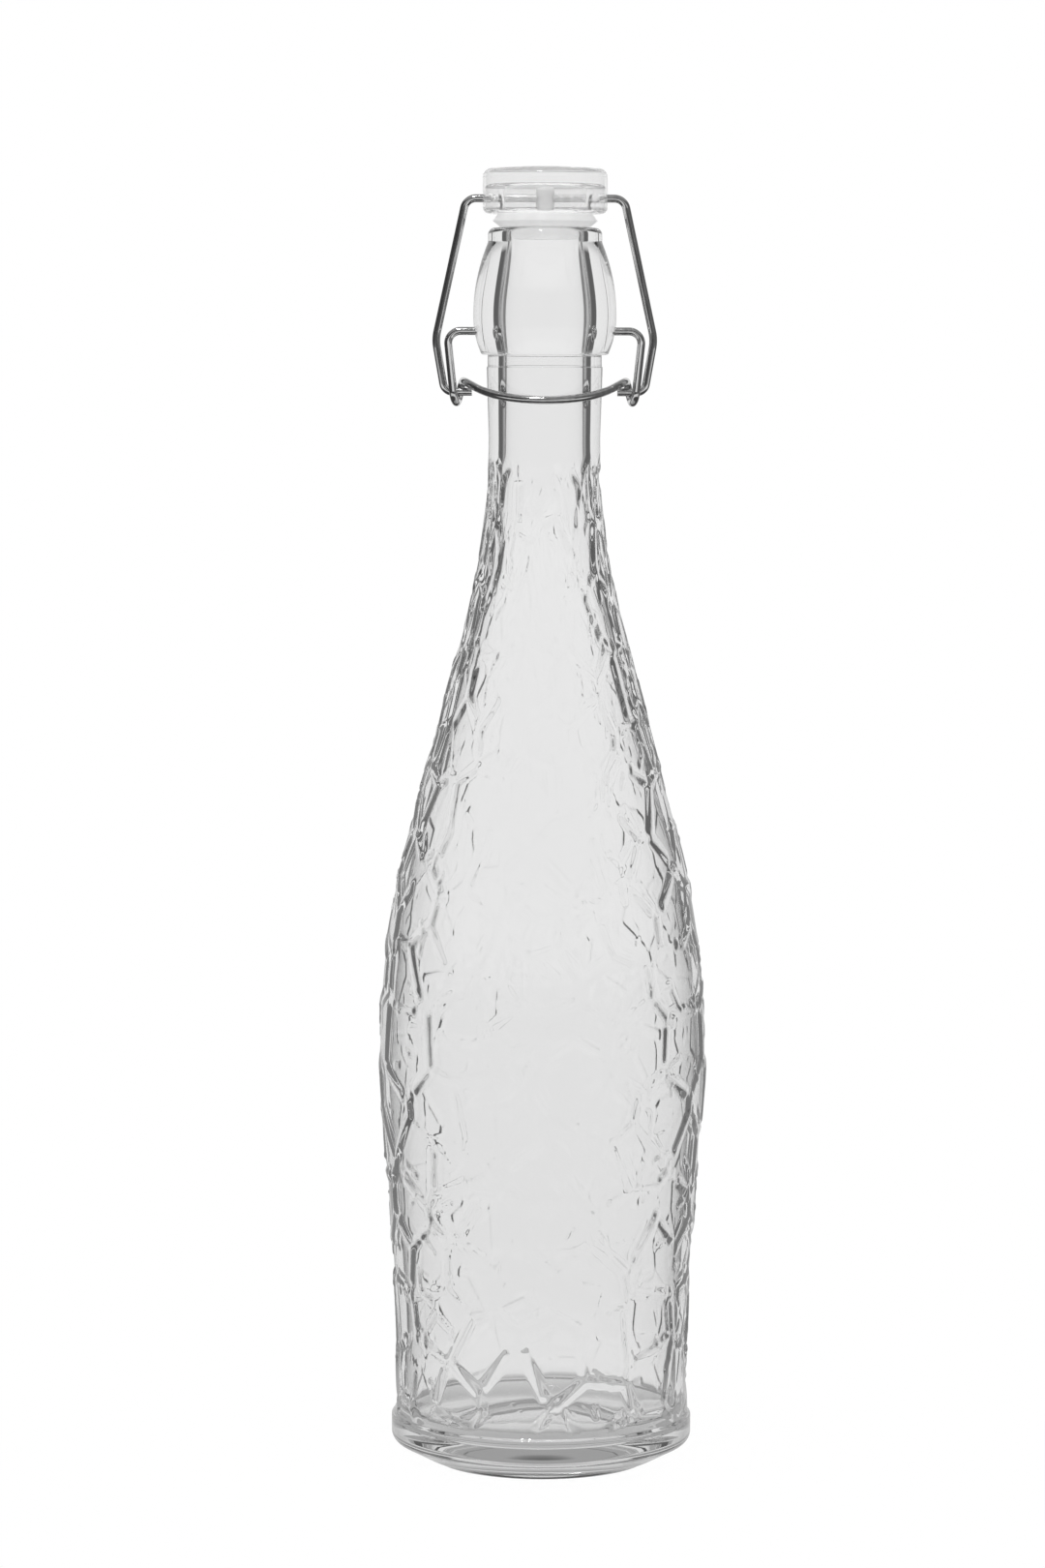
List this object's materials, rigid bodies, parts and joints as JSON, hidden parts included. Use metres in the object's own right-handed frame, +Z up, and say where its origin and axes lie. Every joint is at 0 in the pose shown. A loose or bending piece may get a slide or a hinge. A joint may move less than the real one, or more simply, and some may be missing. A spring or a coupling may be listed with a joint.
{
  "type": "swing top bottle",
  "caption": "Tall clear glass bottle with a crackle-textured body, long neck and a wire swing closure that presses a clear stopper with a silicone seal onto the mouth.",
  "frame": {"origin": "middle of the foot ring, on the surface that the bottle stands on", "axes": "+Z up along the bottle's axis, -Y towards the lever's thumb arc, +X along the lever's pivot line"},
  "size_m": [0.0822, 0.082, 0.3226],
  "materials": {
    "glass": "clear polished glass with a moulded crackle relief",
    "clear_plastic": "clear moulded plastic",
    "silicone": "milky translucent silicone",
    "stainless_wire": "bright drawn stainless wire"
  },
  "bodies": {
    "bottle": {"bottle": "glass"},
    "lever": {"lever_wire": "stainless_wire"},
    "bail": {"bail_wire": "stainless_wire"},
    "stopper": {"stopper_cap": "clear_plastic", "stopper_seal": "silicone"}
  },
  "joints": [
    {"name": "lever_hinge", "type": "hinge", "parent": "bottle", "child": "lever", "pos_m": [0, 0, 0.2821], "axis": [-1, 0, 0], "range_deg": [0, 87]},
    {"name": "bail_hinge", "type": "hinge", "parent": "lever", "child": "bail", "pos_m": [0, 0.0012, 0.2671], "axis": [-1, 0, 0], "range_deg": [-61, 0]},
    {"name": "stopper_hinge", "type": "hinge", "parent": "bail", "child": "stopper", "pos_m": [0, 0, 0.3147], "axis": [-1, 0, 0], "range_deg": [-26.2, 0]}
  ],
  "couplings": [
    {"joint": "bail_hinge", "follows": "lever_hinge", "ratio": -0.7},
    {"joint": "stopper_hinge", "follows": "lever_hinge", "ratio": -0.3}
  ]
}
